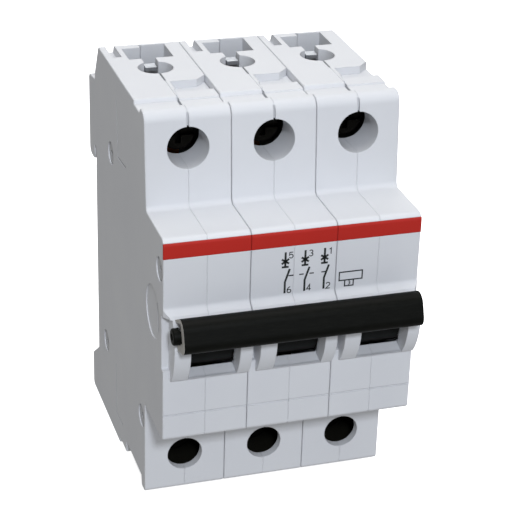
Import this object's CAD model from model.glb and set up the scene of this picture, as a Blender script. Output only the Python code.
# %% [markdown]
# # A three-pole circuit breaker, dressed in Blender
#
# The breaker was designed in CAD and packed as a frame: every shell, lever, screw and spring is already
# here, in metres, in its place. This notebook gives those parts their finishes, adds the fine pieces that
# CAD leaves out, and lights the whole for a product picture. The first cell loads the frame and keeps the
# box that the CAD fills, because nothing added later may stand outside it.

# %% Load the frame
from math import radians

import bpy
import numpy as np
from mathutils import Matrix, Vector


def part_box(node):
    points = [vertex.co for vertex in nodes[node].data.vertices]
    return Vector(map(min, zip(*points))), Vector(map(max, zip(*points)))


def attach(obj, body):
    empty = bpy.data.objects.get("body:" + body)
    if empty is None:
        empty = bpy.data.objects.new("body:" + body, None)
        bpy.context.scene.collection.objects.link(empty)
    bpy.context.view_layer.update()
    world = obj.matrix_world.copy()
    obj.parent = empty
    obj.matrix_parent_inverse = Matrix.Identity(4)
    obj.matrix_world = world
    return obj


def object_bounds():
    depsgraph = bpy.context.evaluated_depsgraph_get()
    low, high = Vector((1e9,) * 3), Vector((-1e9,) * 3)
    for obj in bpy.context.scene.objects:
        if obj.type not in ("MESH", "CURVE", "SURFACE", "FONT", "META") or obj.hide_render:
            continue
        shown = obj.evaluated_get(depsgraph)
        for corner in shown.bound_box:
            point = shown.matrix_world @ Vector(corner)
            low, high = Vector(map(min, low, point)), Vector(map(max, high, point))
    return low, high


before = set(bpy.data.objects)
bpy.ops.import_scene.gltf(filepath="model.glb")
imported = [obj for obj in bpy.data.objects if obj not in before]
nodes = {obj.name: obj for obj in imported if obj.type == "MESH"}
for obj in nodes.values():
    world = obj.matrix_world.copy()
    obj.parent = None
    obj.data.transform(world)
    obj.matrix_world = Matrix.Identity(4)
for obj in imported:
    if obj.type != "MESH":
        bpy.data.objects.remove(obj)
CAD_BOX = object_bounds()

MM = 0.001
print(len(nodes), "CAD nodes, box", CAD_BOX)

# %% [markdown]
# ## The camera
#
# The breaker is seen from its left front, from a little above, through a long lens, as in a catalogue.
# A camera can be aimed with a constraint, or its turn can be worked out from an azimuth, an elevation and
# a roll. The second way needs no helper object and states the view in plain angles.

# %% Camera
AZIMUTH, ELEVATION, ROLL = radians(-17.87), radians(26.11), radians(1.73)
TARGET = np.array([1.66, -30.0, 2.13]) * MM
DISTANCE = 362.4 * MM
FOCAL_WIDTHS = 3.334  # focal length over the picture's width
SENSOR_WIDTH = 36.0

back = np.array([
    np.sin(AZIMUTH) * np.cos(ELEVATION), -np.cos(AZIMUTH) * np.cos(ELEVATION), np.sin(ELEVATION)
])
right = np.array([np.cos(AZIMUTH), np.sin(AZIMUTH), 0.0])
up = np.cross(back, right)
rolled_right = np.cos(ROLL) * right + np.sin(ROLL) * up
rolled_up = np.cross(back, rolled_right)

camera = bpy.data.objects.new("camera", bpy.data.cameras.new("camera"))
bpy.context.collection.objects.link(camera)
camera.data.sensor_width = SENSOR_WIDTH
camera.data.lens = SENSOR_WIDTH * FOCAL_WIDTHS
camera.data.clip_start = 0.01
matrix = np.eye(4)
matrix[:3, 0], matrix[:3, 1], matrix[:3, 2] = rolled_right, rolled_up, back
matrix[:3, 3] = TARGET + back * DISTANCE
camera.matrix_world = Matrix(matrix)
bpy.context.scene.camera = camera
print("camera at", np.round(matrix[:3, 3], 3), "m, lens", round(camera.data.lens, 1), "mm")

# %% [markdown]
# ## Light and floor
#
# One fairly small panel stands in front, a little to the left and a third of the way up: it draws the
# nose's shadow on the shoulder below. A wide cool panel in front and one above fill that shadow, one
# behind glints on the metal in the cable entries, and the world fills the sides. The floor is a plain
# sheet that glows, as paper lit from behind does; it is marked as stage so that it is not taken for a
# part of the breaker.

# %% Studio
def area_light(name, place, aim, width, height, watts, colour=(1.0, 1.0, 1.0)):
    """A rectangular lamp that looks from one point at another."""
    lamp = bpy.data.lights.new(name, "AREA")
    lamp.shape = "RECTANGLE"
    lamp.size, lamp.size_y, lamp.energy, lamp.color = width, height, watts, colour
    piece = bpy.data.objects.new(name, lamp)
    bpy.context.collection.objects.link(piece)
    away = np.array(place) - np.array(aim)
    away = away / np.linalg.norm(away)
    side = np.cross([0.0, 0.0, 1.0], away)
    side = side / np.linalg.norm(side)
    turn = np.eye(4)
    turn[:3, 0], turn[:3, 1], turn[:3, 2] = side, np.cross(away, side), away
    turn[:3, 3] = place
    piece.matrix_world = Matrix(turn)
    return piece


AIM = (0.0, -0.03, 0.0)
area_light("key_panel", (-0.12, -0.75, 0.50), AIM, 0.09, 0.09, 3.9, (0.87, 0.92, 1.0))
area_light("front_panel", (0.10, -0.85, 0.12), AIM, 0.8, 0.5, 0.75, (0.80, 0.87, 1.0))
area_light("top_panel", (0.1, 0.05, 0.9), AIM, 0.7, 0.7, 3.8)
area_light("back_panel", (0.1, 0.62, 0.42), AIM, 0.7, 0.3, 1.2)

world = bpy.data.worlds.new("studio")
world.use_nodes = True
world.node_tree.nodes["Background"].inputs["Color"].default_value = (1.0, 1.0, 0.99, 1.0)
world.node_tree.nodes["Background"].inputs["Strength"].default_value = 0.34
bpy.context.scene.world = world
bpy.context.scene.view_settings.view_transform = "Standard"

FLOOR_Z = CAD_BOX[0][2]  # the breaker stands on its lowest edge
floor_mesh = bpy.data.meshes.new("floor")
reach = 4.0
floor_mesh.from_pydata(
    [(-reach, -reach, FLOOR_Z), (reach, -reach, FLOOR_Z), (reach, reach, FLOOR_Z), (-reach, reach, FLOOR_Z)],
    [], [(0, 1, 2, 3)],
)
floor = bpy.data.objects.new("floor", floor_mesh)
bpy.context.collection.objects.link(floor)
floor.visible_diffuse = floor.visible_glossy = False  # its glow must not light the breaker from below

# %% [markdown]
# ## Two helpers for materials
#
# A colour is easiest to read as the hex value of a paint chart, but a shader works in linear light, so one
# function turns the first into the second. The other adds a shader node, sets it and links it in one line.

# %% Colour and node helpers
def linear(hex_colour, alpha=1.0):
    """sRGB hex to the linear values a shader expects: each channel goes through the sRGB curve."""
    channels = np.array([int(hex_colour[i:i + 2], 16) for i in (1, 3, 5)]) / 255
    low = channels / 12.92
    high = ((channels + 0.055) / 1.055) ** 2.4
    return (*np.where(channels <= 0.04045, low, high).tolist(), alpha)


def add(tree, kind, settings=None, **inputs):
    """Adds a node. settings are its own properties; inputs are sockets by name (_ for a space), each a
    value or another node's output to link."""
    made = tree.nodes.new(kind)
    for key, value in (settings or {}).items():
        setattr(made, key, value)
    for key, value in inputs.items():
        socket = made.inputs[int(key[1:])] if key[1:].isdigit() else made.inputs[key.replace("_", " ")]
        if isinstance(value, bpy.types.NodeSocket):
            tree.links.new(value, socket)
        else:
            socket.default_value = value
    return made


def new_material(name):
    """An empty node material with Object coordinates in millimetres, its shader and its output."""
    made = bpy.data.materials.new(name)
    made.use_nodes = True
    tree = made.node_tree
    tree.nodes.clear()
    place = add(tree, "ShaderNodeTexCoord")
    mm = add(tree, "ShaderNodeMapping", Vector=place.outputs["Object"], Scale=(1 / MM,) * 3)
    shader = add(tree, "ShaderNodeBsdfPrincipled")
    add(tree, "ShaderNodeOutputMaterial", Surface=shader.outputs[0])
    return made, tree, mm.outputs[0], shader


def dress(material, *names):
    """Gives the named CAD nodes this one material."""
    for name in names:
        slots = nodes[name].data.materials
        slots.clear()
        slots.append(material)
    print(material.name, "on", len(names), "nodes")


def of_kind(*words):
    """The CAD nodes whose name holds one of these words."""
    return [name for name in nodes if any(word in name for word in words)]

# %% [markdown]
# ## Light grey polyamide: the shells
#
# The half shells are injection moulded from glass-filled polyamide in a spark-eroded mould. That leaves a
# grain of about a third of a millimetre that makes the surface satin, a very faint cloudiness where the
# melt flowed, and no polish anywhere. Noise at those real scales gives all three. The chambers behind the
# holes hold metal dust and grease, so a mask built from plain comparisons turns them nearly black. The
# edges are rounded in the shading alone, which leaves the CAD mesh as it is.

# %% Shell plastic
POLE_PITCH = 17.5
CHAMBER_HALF_WIDTH = 8.2
EDGE_ROUND = 0.25  # edges leave the mould this round
# dull chambers behind the screw holes: (front, back) in Y and (low, high) in Z, in millimetres
CHAMBERS = (((-36.9, -5.4), (20.0, 39.25)), ((-42.5, -5.4), (-41.85, -20.0)))


def inside_chambers(tree, mm):
    """1 inside any pole's terminal chambers and 0 elsewhere. X is wrapped to one pole's width, and each
    side of a chamber is one comparison; the product of the comparisons is the box."""
    xyz = add(tree, "ShaderNodeSeparateXYZ", Vector=mm).outputs
    one_pole = add(tree, "ShaderNodeMath", {"operation": "WRAP"}, _0=xyz[0], _1=POLE_PITCH / 2,
                   _2=-POLE_PITCH / 2)
    off_centre = add(tree, "ShaderNodeMath", {"operation": "ABSOLUTE"}, _0=one_pole.outputs[0])
    narrow = add(tree, "ShaderNodeMath", {"operation": "LESS_THAN"}, _0=off_centre.outputs[0],
                 _1=CHAMBER_HALF_WIDTH)
    total = None
    for (front, rear), (low, high) in CHAMBERS:
        mask = narrow
        for value, kind, limit in (
            (xyz[1], "GREATER_THAN", front), (xyz[1], "LESS_THAN", rear),
            (xyz[2], "GREATER_THAN", low), (xyz[2], "LESS_THAN", high),
        ):
            side = add(tree, "ShaderNodeMath", {"operation": kind}, _0=value, _1=limit)
            mask = add(tree, "ShaderNodeMath", {"operation": "MULTIPLY"}, _0=mask.outputs[0],
                       _1=side.outputs[0])
        total = mask if total is None else add(
            tree, "ShaderNodeMath", {"operation": "MAXIMUM"}, _0=total.outputs[0], _1=mask.outputs[0])
    return total.outputs[0]


def moulded_polyamide(name, pale, deep, gloss=0.42, sooty=None):
    """Satin moulded plastic: cloudy colour, fine eroded grain, slightly uneven gloss. With a sooty colour,
    the chambers behind the screw holes take that colour."""
    made, tree, mm, shader = new_material(name)
    clouds = add(tree, "ShaderNodeTexNoise", Vector=mm, Scale=0.06, Detail=3.0, Roughness=0.55)
    blend = add(tree, "ShaderNodeMix", {"data_type": "RGBA"}, Factor=clouds.outputs[0])
    blend.inputs[6].default_value, blend.inputs[7].default_value = linear(pale), linear(deep)
    colour = blend.outputs[2]
    if sooty:
        dull = add(tree, "ShaderNodeMix", {"data_type": "RGBA"}, Factor=inside_chambers(tree, mm))
        dull.inputs[7].default_value = linear(sooty)
        tree.links.new(colour, dull.inputs[6])
        colour = dull.outputs[2]
    tree.links.new(colour, shader.inputs["Base Color"])
    grain = add(tree, "ShaderNodeTexNoise", Vector=mm, Scale=3.0, Detail=2.0, Roughness=0.6)
    rounded = add(tree, "ShaderNodeBevel", {"samples": 4}, Radius=EDGE_ROUND * MM)
    bump = add(tree, "ShaderNodeBump", Height=grain.outputs[0], Strength=0.22, Distance=0.05 * MM,
               Normal=rounded.outputs[0])
    tree.links.new(bump.outputs[0], shader.inputs["Normal"])
    sheen = add(tree, "ShaderNodeMapRange", Value=grain.outputs[0])
    sheen.inputs["To Min"].default_value, sheen.inputs["To Max"].default_value = gloss, gloss + 0.16
    tree.links.new(sheen.outputs[0], shader.inputs["Roughness"])
    shader.inputs["IOR"].default_value = 1.53
    shader.inputs["Specular IOR Level"].default_value = 0.42
    return made


shell_plastic = moulded_polyamide("light_grey_polyamide", "#DCDDDF", "#D3D4D8", sooty="#16150F")
dress(shell_plastic, *of_kind("shell"))

# %% [markdown]
# ## Black handle plastic
#
# Levers, tie bar and its pin are moulded in black polyamide. It is matt, takes up almost all light and
# shows faint rubbed streaks along the bar, where fingers push it. The bar is sawn from a long strip, so
# its left end has a pale torn edge; the place of that end is read from the node's own box.

# %% Handle plastic
def black_polyamide(name, cut_end=None):
    """Near-black plastic with a soft gloss, a fine grain and scratches drawn out along the bar. Left of
    cut_end, in millimetres, lies the sawn end of a strip, which is pale where the saw has torn it."""
    made, tree, mm, shader = new_material(name)
    drawn = add(tree, "ShaderNodeMapping", Vector=mm, Scale=(0.25, 2.4, 2.4))
    rubs = add(tree, "ShaderNodeTexNoise", Vector=drawn.outputs[0], Scale=1.6, Detail=6.0, Roughness=0.7)
    tone = add(tree, "ShaderNodeMapRange", Value=rubs.outputs[0])
    tone.inputs["From Min"].default_value, tone.inputs["From Max"].default_value = 0.45, 0.8
    blend = add(tree, "ShaderNodeMix", {"data_type": "RGBA"}, Factor=tone.outputs[0])
    blend.inputs[6].default_value, blend.inputs[7].default_value = linear("#060704"), linear("#12130F")
    colour = blend.outputs[2]
    if cut_end:
        xyz = add(tree, "ShaderNodeSeparateXYZ", Vector=mm)
        end = add(tree, "ShaderNodeMath", {"operation": "LESS_THAN"}, _0=xyz.outputs[0], _1=cut_end)
        torn = add(tree, "ShaderNodeMix", {"data_type": "RGBA"}, Factor=end.outputs[0])
        torn.inputs[7].default_value = linear("#B9B6B0")
        tree.links.new(colour, torn.inputs[6])
        colour = torn.outputs[2]
    tree.links.new(colour, shader.inputs["Base Color"])
    gloss = add(tree, "ShaderNodeMapRange", Value=rubs.outputs[0])
    gloss.inputs["To Min"].default_value, gloss.inputs["To Max"].default_value = 0.38, 0.6
    tree.links.new(gloss.outputs[0], shader.inputs["Roughness"])
    grain = add(tree, "ShaderNodeTexNoise", Vector=mm, Scale=5.0, Detail=2.0)
    bump = add(tree, "ShaderNodeBump", Height=grain.outputs[0], Strength=0.15, Distance=0.04 * MM)
    tree.links.new(bump.outputs[0], shader.inputs["Normal"])
    shader.inputs["IOR"].default_value = 1.53
    shader.inputs["Specular IOR Level"].default_value = 0.09
    return made


handle_plastic = black_polyamide("black_polyamide")
dress(handle_plastic, "handle_1", "handle_2", "handle_3", "tie_bar_pin")
SAWN_SKIN = 0.02  # how far the torn face reaches into the bar
bar_end = min(corner[0] for corner in nodes["handle_tie_bar"].bound_box) / MM
bar_plastic = black_polyamide("sawn_black_polyamide", bar_end + SAWN_SKIN)
dress(bar_plastic, "handle_tie_bar")
print("the tie bar's sawn end is at X =", round(bar_end, 2), "mm")

# %% [markdown]
# ## Other plastics
#
# The stripe is a thin strip of plastic dyed right through, so its red is even and its gloss a little
# higher than the shell's. The rail clips and the trip bar are plain grey and sand-coloured mouldings.

# %% Stripe, clips and trip bar
stripe_plastic = moulded_polyamide("red_dyed_plastic", "#BC1A06", "#B01504", gloss=0.55)
dress(stripe_plastic, "front_stripes")
clip_plastic = moulded_polyamide("dark_grey_polyamide", "#4A4C50", "#3F4145")
dress(clip_plastic, *of_kind("rail_clip"))
trip_plastic = moulded_polyamide("sand_polyester", "#B7A57F", "#A8966F")
dress(trip_plastic, "trip_bar")

# %% [markdown]
# ## Metals
#
# Cages, yokes and arc plates are steel with a zinc coat, which has a faint crystal mottle and is duller
# than chrome. The screws are blackened instead, and the rivets are painted over in the shells' grey, so
# they share the moulded finish. Copper strips are rolled, so their fine lines run along one direction.

# %% Metals
def rolled_metal(name, bright, dull, rough, stretch=(1.0, 1.0, 1.0), mottle=0.9):
    """A metal with mottled tone and fine lines; stretch below 1 draws the lines out along that axis."""
    made, tree, mm, shader = new_material(name)
    drawn = add(tree, "ShaderNodeMapping", Vector=mm, Scale=stretch)
    lines = add(tree, "ShaderNodeTexNoise", Vector=drawn.outputs[0], Scale=6.0, Detail=5.0, Roughness=0.65)
    spots = add(tree, "ShaderNodeTexVoronoi", Vector=mm, Scale=mottle)
    mix = add(tree, "ShaderNodeMath", {"operation": "MULTIPLY_ADD"}, _0=spots.outputs[0], _1=0.35)
    tree.links.new(lines.outputs[0], mix.inputs[2])
    blend = add(tree, "ShaderNodeMix", {"data_type": "RGBA"}, Factor=mix.outputs[0])
    blend.inputs[6].default_value, blend.inputs[7].default_value = linear(bright), linear(dull)
    tree.links.new(blend.outputs[2], shader.inputs["Base Color"])
    worn = add(tree, "ShaderNodeMapRange", Value=lines.outputs[0])
    worn.inputs["To Min"].default_value, worn.inputs["To Max"].default_value = rough - 0.08, rough + 0.12
    tree.links.new(worn.outputs[0], shader.inputs["Roughness"])
    bump = add(tree, "ShaderNodeBump", Height=lines.outputs[0], Strength=0.18, Distance=0.03 * MM)
    tree.links.new(bump.outputs[0], shader.inputs["Normal"])
    shader.inputs["Metallic"].default_value = 1.0
    return made


zinc_steel = rolled_metal("zinc_plated_steel", "#E4E7EA", "#B4B8BE", 0.46)
dress(zinc_steel, *of_kind("clamp_cage", "yoke", "plunger", "arc_chute"))
screw_steel = rolled_metal("blackened_screw_steel", "#211F1B", "#12110F", 0.5, (1.0, 0.2, 1.0))
dress(screw_steel, *of_kind("terminal_screw"))
pin_steel = rolled_metal("turned_zinc_steel", "#B0ABA0", "#77726A", 0.36, (1.0, 0.2, 1.0))
dress(pin_steel, *of_kind("pivot_pins"))
rivet_steel = moulded_polyamide("grey_painted_steel", "#C9CACC", "#BDBEC1", gloss=0.5)
dress(rivet_steel, "rivets")
copper = rolled_metal("rolled_copper", "#D08E66", "#A9643F", 0.3, (1.0, 1.0, 0.15))
dress(copper, *of_kind("contact_arm_", "fixed_contact", "terminal_plate", "trip_coil"))
spring_wire = rolled_metal("drawn_spring_wire", "#B9BABC", "#85878A", 0.28, (0.2, 1.0, 1.0))
dress(spring_wire, *of_kind("springs", "link_"))
bimetal = rolled_metal("rolled_bimetal", "#B9B29E", "#8F8977", 0.32, (1.0, 1.0, 0.15))
dress(bimetal, *of_kind("bimetal"))

# %% [markdown]
# ## Printed marks
#
# The nose carries one circuit symbol for each pole, with the terminal numbers above and below it, and two
# frames for the ratings. On the real case they are pad printed: ink is lifted from an etched
# plate by a soft pad and set down a few hundredths of a millimetre thick. A picture of the marks would
# need a texture; strokes of real ink film keep their edges at any distance instead.

# %% Ink strokes
NOSE_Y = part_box("front_stripes")[0][1] / MM  # the stripes lie flush with the nose
INK = 0.015  # the film stands this far above the plastic and reaches as far below it


def stroke(points, width):
    """A flat ribbon of ink along a line of (X, Z) points. Each point moves sideways by half the width
    along its mitre, which is the mean of the two neighbouring normals divided by its own length squared;
    the four corners of the ribbon's section then run along the whole line, closed at both ends."""
    line = np.array(points, float)
    along = np.diff(line, axis=0)
    along = along / np.linalg.norm(along, axis=1, keepdims=True)
    normals = np.stack([-along[:, 1], along[:, 0]], axis=1)
    before = np.vstack([normals[:1], normals])
    after = np.vstack([normals, normals[-1:]])
    mitre = (before + after) / 2
    mitre = mitre / np.sum(mitre**2, axis=1, keepdims=True)
    left, right = line + mitre * width / 2, line - mitre * width / 2
    edges = np.stack([left, right, right, left], axis=1)
    depth = np.broadcast_to(NOSE_Y + INK * np.array([-1, -1, 1, 1]), edges.shape[:2])
    vertices = np.stack([edges[..., 0], depth, edges[..., 1]], axis=-1).reshape(-1, 3)
    base = 4 * np.arange(len(line) - 1)[:, None]
    walls = [base + np.array([(k + 1) % 4, (k + 1) % 4 + 4, k + 4, k]) for k in range(4)]
    last = 4 * (len(line) - 1)
    ends = np.array([[3, 2, 1, 0], [last, last + 1, last + 2, last + 3]])
    return vertices, np.vstack([*walls, ends])


def arc(cx, cz, rx, rz, start, stop, count=9):
    """Points of an ellipse's arc, with the angles in degrees from +X towards +Z."""
    turn = np.radians(np.linspace(start, stop, count))
    return list(zip(cx + rx * np.cos(turn), cz + rz * np.sin(turn)))


# each digit is one or two lines in a box one wide and one and a half high, with its centre at (0, 0)
DIGITS = {
    1: [[(-0.25, 0.45), (0.15, 0.75), (0.15, -0.75)]],
    2: [arc(0, 0.33, 0.45, 0.42, 165, -35) + [(-0.5, -0.75), (0.5, -0.75)]],
    3: [arc(0, 0.38, 0.4, 0.37, 150, -80) + arc(0, -0.37, 0.45, 0.38, 80, -150)],
    4: [[(0.2, -0.75), (0.2, 0.75), (-0.5, -0.35), (0.5, -0.35)]],
    5: [[(0.42, 0.75), (-0.35, 0.75), (-0.42, 0.05)] + arc(-0.02, -0.25, 0.47, 0.48, 125, -150)],
    6: [arc(0.35, -0.2, 0.82, 0.95, 95, 170) + arc(0, -0.3, 0.45, 0.43, 175, 535, 17)],
}

# %% [markdown]
# The symbol is the usual one for a switch that opens by itself: a conductor with a cross on it, a bar,
# and a slanted blade below. A dashed line across the three blades says that they move together.

# %% Symbols, numbers and frames
def at(x, z, lines, scale=1.0):
    """The same lines, scaled and moved to a place on the nose."""
    return [[(x + scale * u, z + scale * w) for u, w in line] for line in lines]


SYMBOL = [
    [(0, 4.7), (0, 2.1)],
    [(-0.75, 3.2), (0.75, 2.2)],
    [(-0.75, 2.2), (0.75, 3.2)],
    [(0, 2.2), (0, 1.5)],
    [(-0.7, 1.5), (0.7, 1.5)],
    [(0.95, 1.0), (0.05, -1.75), (0.05, -4.2)],
]
# each pole's symbol: X, number above, number below, and the dashes beside its blade
COLUMNS = (
    (-1.8, 5, 6, [(0.75, 1.75)]),
    (2.25, 3, 4, [(-1.1, -0.2), (1.0, 1.9)]),
    (6.25, 1, 2, [(-0.55, 0.35)]),
)
BOLD, MIDDLE, FINE, FINEST = 0.42, 0.26, 0.2, 0.16  # stroke widths
DIGIT_SCALE, SYMBOL_Z, DASH_Z, TOP_NUMBER_Z, LOW_NUMBER_Z = 0.85, 12.65, 12.2, 16.6, 9.1

marks = []
for x, top_number, low_number, dashes in COLUMNS:
    marks += [stroke(line, BOLD) for line in at(x, SYMBOL_Z, SYMBOL)]
    marks += [stroke(line, FINE) for line in at(x + 1.15, TOP_NUMBER_Z, DIGITS[top_number], DIGIT_SCALE)]
    marks += [stroke(line, FINE) for line in at(x + 0.95, LOW_NUMBER_Z, DIGITS[low_number], DIGIT_SCALE)]
    marks += [stroke([(x + a, DASH_Z), (x + b, DASH_Z)], MIDDLE) for a, b in dashes]
frames = [
    [(9.5, 11.6), (14.3, 11.6), (14.3, 9.8), (9.5, 9.8)],
    [(10.7, 9.8), (12.5, 9.8), (12.5, 8.5), (10.7, 8.5)],
]
marks += [stroke(line + [line[0], line[1]], MIDDLE) for line in frames]
marks += [stroke(line, FINEST) for line in at(11.6, 9.15, DIGITS[3], 0.5)]


def joined(name, meshes):
    """One object from many (vertices, faces) pairs: each pair's indices go up by the vertices before it."""
    starts = np.cumsum([0] + [len(vertices) for vertices, _ in meshes[:-1]])
    vertices = np.vstack([vertices for vertices, _ in meshes]) * MM
    faces = np.vstack([faces + start for (_, faces), start in zip(meshes, starts)])
    mesh = bpy.data.meshes.new(name)
    mesh.from_pydata(vertices.tolist(), [], faces.tolist())
    piece = bpy.data.objects.new(name, mesh)
    bpy.context.collection.objects.link(piece)
    return piece


printed = joined("printed_marks", marks)
ink, ink_tree, ink_mm, ink_shader = new_material("black_pad_ink")
thin = add(ink_tree, "ShaderNodeTexNoise", Vector=ink_mm, Scale=2.5, Detail=3.0)
tone = add(ink_tree, "ShaderNodeMix", {"data_type": "RGBA"}, Factor=thin.outputs[0])
tone.inputs[6].default_value, tone.inputs[7].default_value = linear("#151816"), linear("#2A2D2C")
ink_tree.links.new(tone.outputs[2], ink_shader.inputs["Base Color"])
ink_shader.inputs["Roughness"].default_value = 0.55
printed.data.materials.append(ink)
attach(printed, "housing")
print(len(marks), "ink strokes,", len(printed.data.polygons), "faces")

# %% [markdown]
# ## The floor's finish
#
# The floor is matt white paper with a glow of its own, so that it looks as bright far away as near. The
# breaker does not see that glow, because paper lit from behind would light the base too strongly.

# %% Floor paper
paper, paper_tree, paper_mm, paper_shader = new_material("white_paper")
fibre = add(paper_tree, "ShaderNodeTexNoise", Vector=paper_mm, Scale=0.8, Detail=4.0)
shade = add(paper_tree, "ShaderNodeMix", {"data_type": "RGBA"}, Factor=fibre.outputs[0])
shade.inputs[6].default_value, shade.inputs[7].default_value = linear("#FCFCFC"), linear("#F8F8F8")
paper_tree.links.new(shade.outputs[2], paper_shader.inputs["Base Color"])
paper_shader.inputs["Roughness"].default_value = 0.9
paper_shader.inputs["Emission Color"].default_value = linear("#FFFFFF")
paper_shader.inputs["Emission Strength"].default_value = 0.8
floor.data.materials.append(paper)
